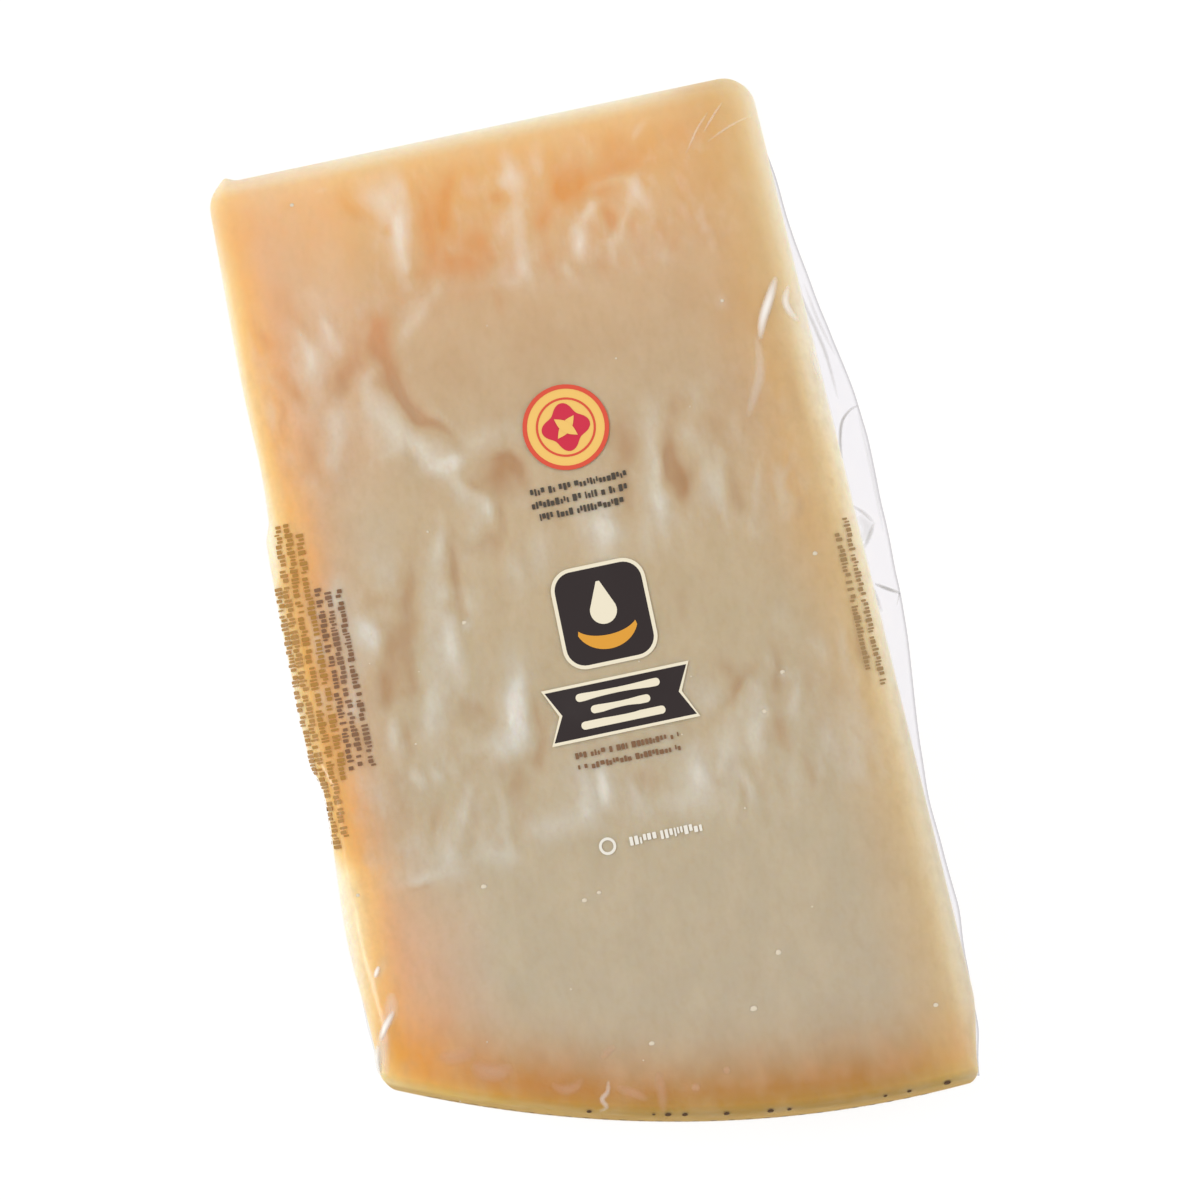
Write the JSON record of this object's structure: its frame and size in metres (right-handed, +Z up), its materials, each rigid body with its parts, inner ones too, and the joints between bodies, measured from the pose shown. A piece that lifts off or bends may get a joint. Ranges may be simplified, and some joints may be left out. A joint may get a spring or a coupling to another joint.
{
  "type": "vacuum-packed parmesan chunk",
  "caption": "Wedge-shaped chunk of hard cheese with a bulging rind heel, a thin tip and broken bands on its cut faces, sealed in tight clear film with a narrow seam along one side.",
  "frame": {"origin": "under the middle of the pack's bounding box, on the surface it lies on", "axes": "+Y from the rind heel to the thin tip, +X from the wheel's flat rind face to the cut at half its height, +Z up from the hidden cut face"},
  "size_m": [0.1252, 0.216, 0.0659],
  "materials": {
    "cheese_in_film": "pale straw cheese under tight clear glossy film"
  },
  "bodies": {
    "root": {"vacuum_packed_wedge": "cheese_in_film"}
  },
  "joints": []
}
